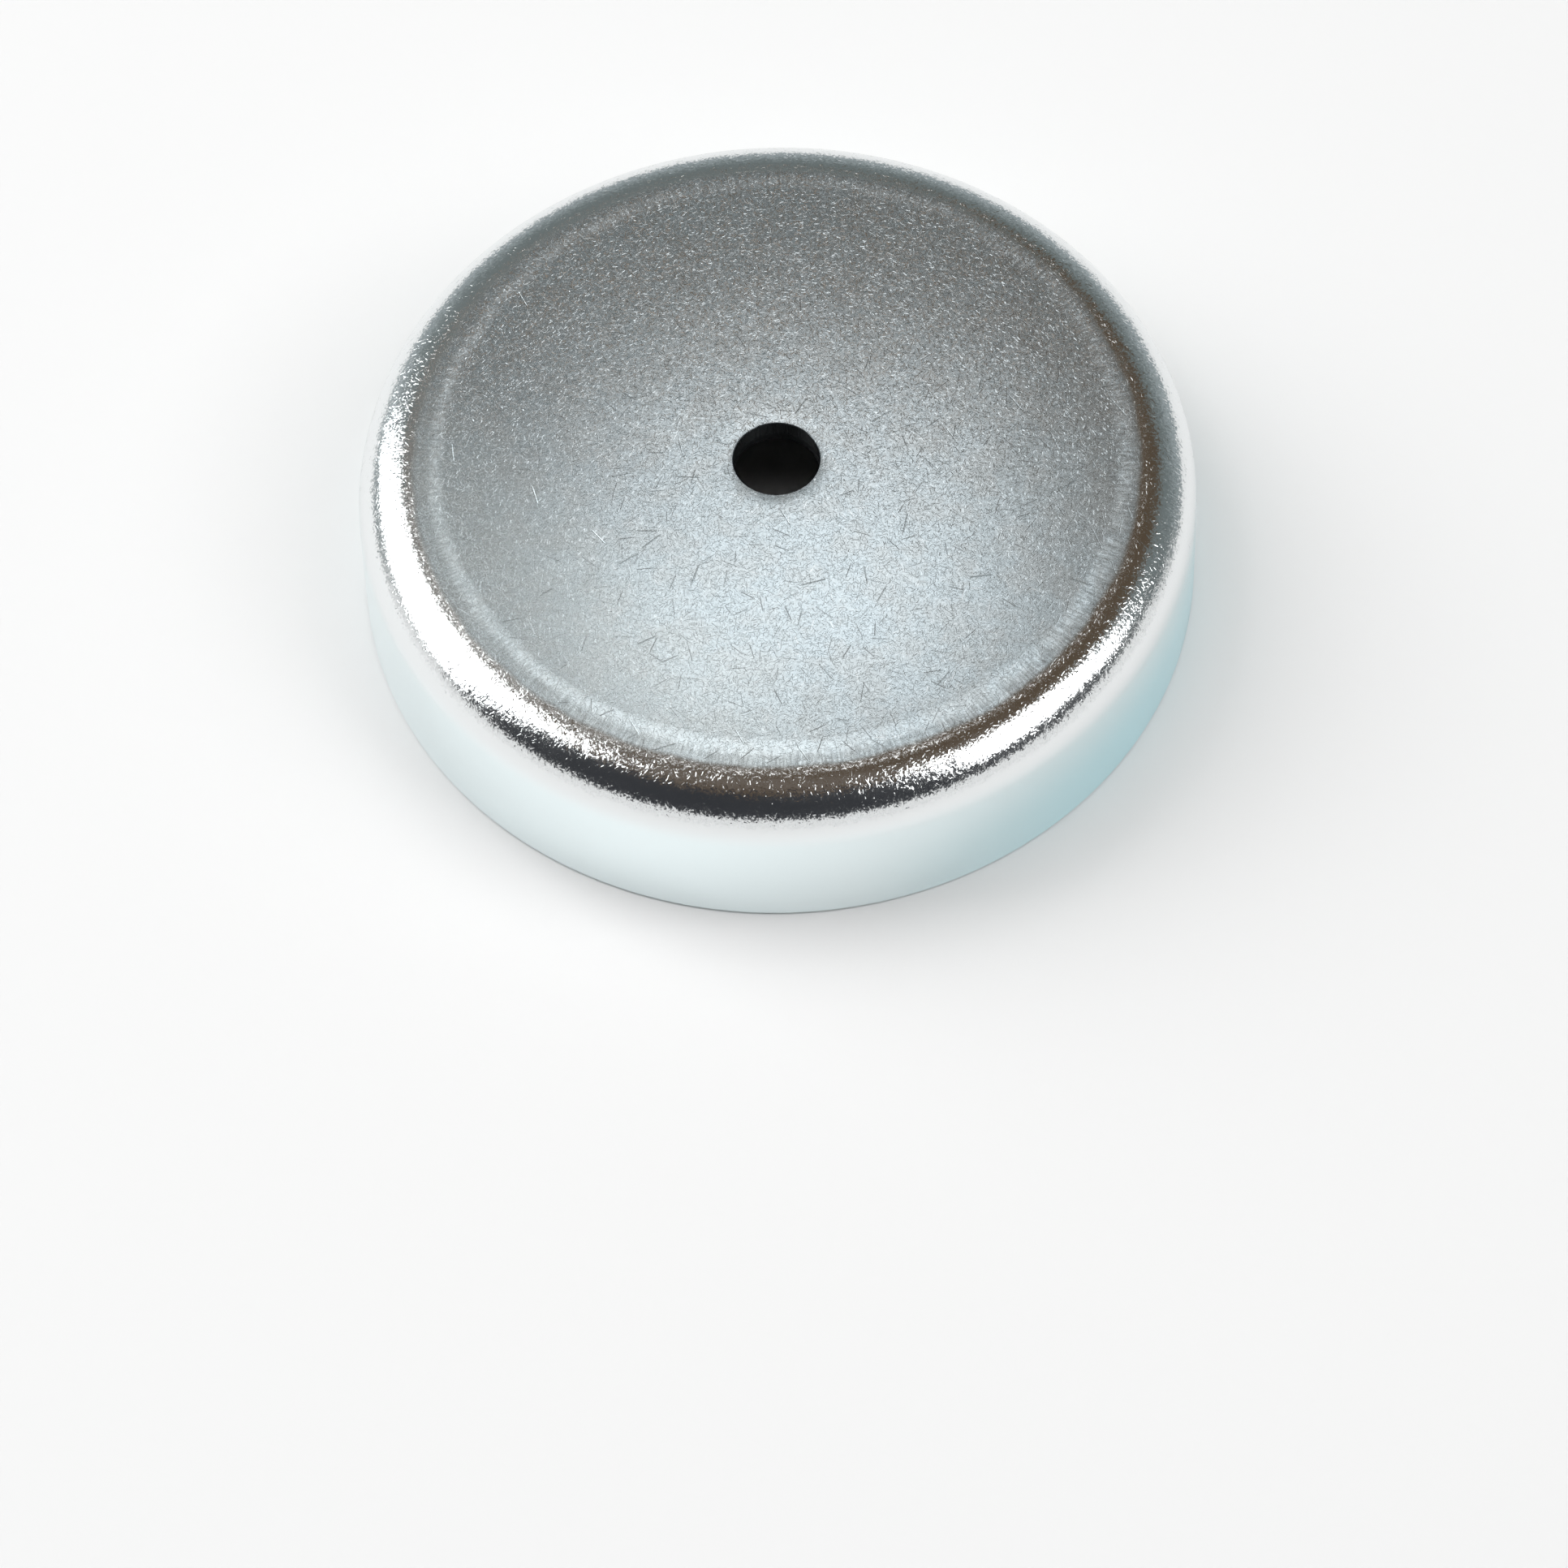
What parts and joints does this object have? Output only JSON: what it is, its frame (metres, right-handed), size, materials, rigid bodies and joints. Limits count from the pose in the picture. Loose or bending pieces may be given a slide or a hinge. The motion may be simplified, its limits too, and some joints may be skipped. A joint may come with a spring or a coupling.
{
  "type": "pot magnet",
  "caption": "Flat ferrite pot magnet: a ring magnet bonded in a zinc-plated drawn steel cup, held by a screw through its closed back.",
  "frame": {"origin": "middle of the flat holding face, on the axis of the screw hole", "axes": "+Z along the axis, out of the cup's closed back; the part is round, so X and Y are free"},
  "size_m": [0.063, 0.063, 0.014],
  "materials": {
    "zinc_plated_steel": "satin",
    "ferrite": "matte",
    "resin": "satin"
  },
  "bodies": {
    "root": {"steel_cup": "zinc_plated_steel", "ferrite_ring": "ferrite", "bonding_resin": "resin"}
  },
  "joints": []
}
